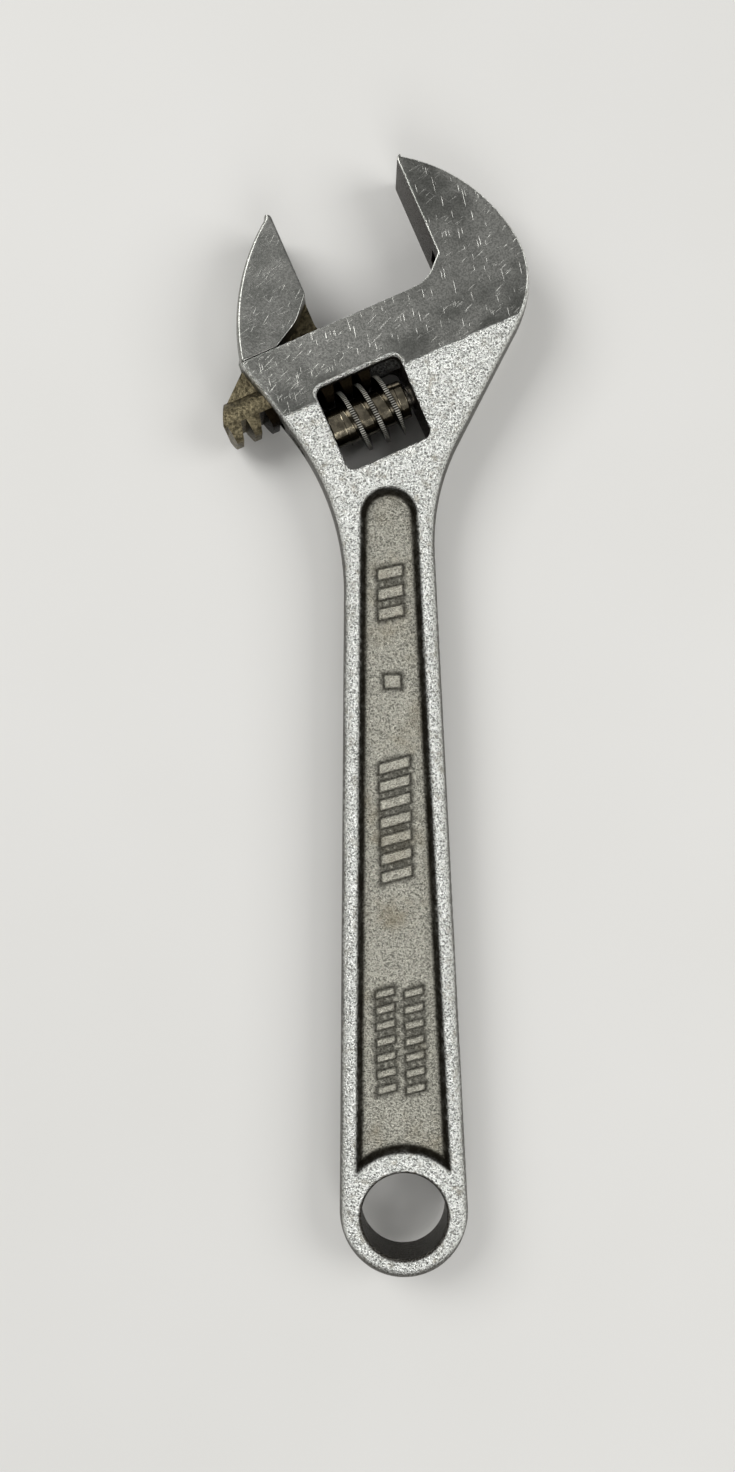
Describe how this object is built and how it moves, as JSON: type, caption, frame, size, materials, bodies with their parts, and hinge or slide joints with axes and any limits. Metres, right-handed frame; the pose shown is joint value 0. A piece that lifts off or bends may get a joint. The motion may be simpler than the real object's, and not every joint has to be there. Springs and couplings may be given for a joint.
{
  "type": "adjustable wrench",
  "caption": "Adjustable wrench with a slanted open head, a movable jaw driven by a worm in a window, and a tapered handle with a recess panel and a hang hole.",
  "frame": {"origin": "centre of the hang hole on the middle plane of the handle", "axes": "+Y along the handle towards the head, +X to the side of the fixed jaw, +Z out of the upper ground face of the head"},
  "size_m": [0.0559, 0.2026, 0.0124],
  "materials": {
    "forged_steel": "shot-blasted and nickel-chrome plated, head faces ground satin",
    "ground_steel": "ground satin faces, dark oiled rail",
    "oiled_steel": "dark, oiled, crests bright",
    "pin_steel": "turned, slotted end",
    "spring_steel": "drawn wire"
  },
  "bodies": {
    "frame": {"wrench_body": "forged_steel", "worm_pin": "pin_steel", "worm_spring": "spring_steel"},
    "jaw": {"movable_jaw": "ground_steel"},
    "worm_screw": {"worm": "oiled_steel"}
  },
  "joints": [
    {"name": "jaw_slide", "type": "slide", "parent": "frame", "child": "jaw", "axis": [0.9239, 0.3827, 0], "range_m": [-0.00065, 0.0247]},
    {"name": "worm_spin", "type": "hinge", "parent": "frame", "child": "worm_screw", "pos_m": [-0.00304, 0.14596, 0], "axis": [0.9239, 0.3827, 0], "range_deg": [-2471, 66]}
  ],
  "couplings": [
    {"joint": "worm_spin", "follows": "jaw_slide", "rad_per_m": -1745.3}
  ]
}
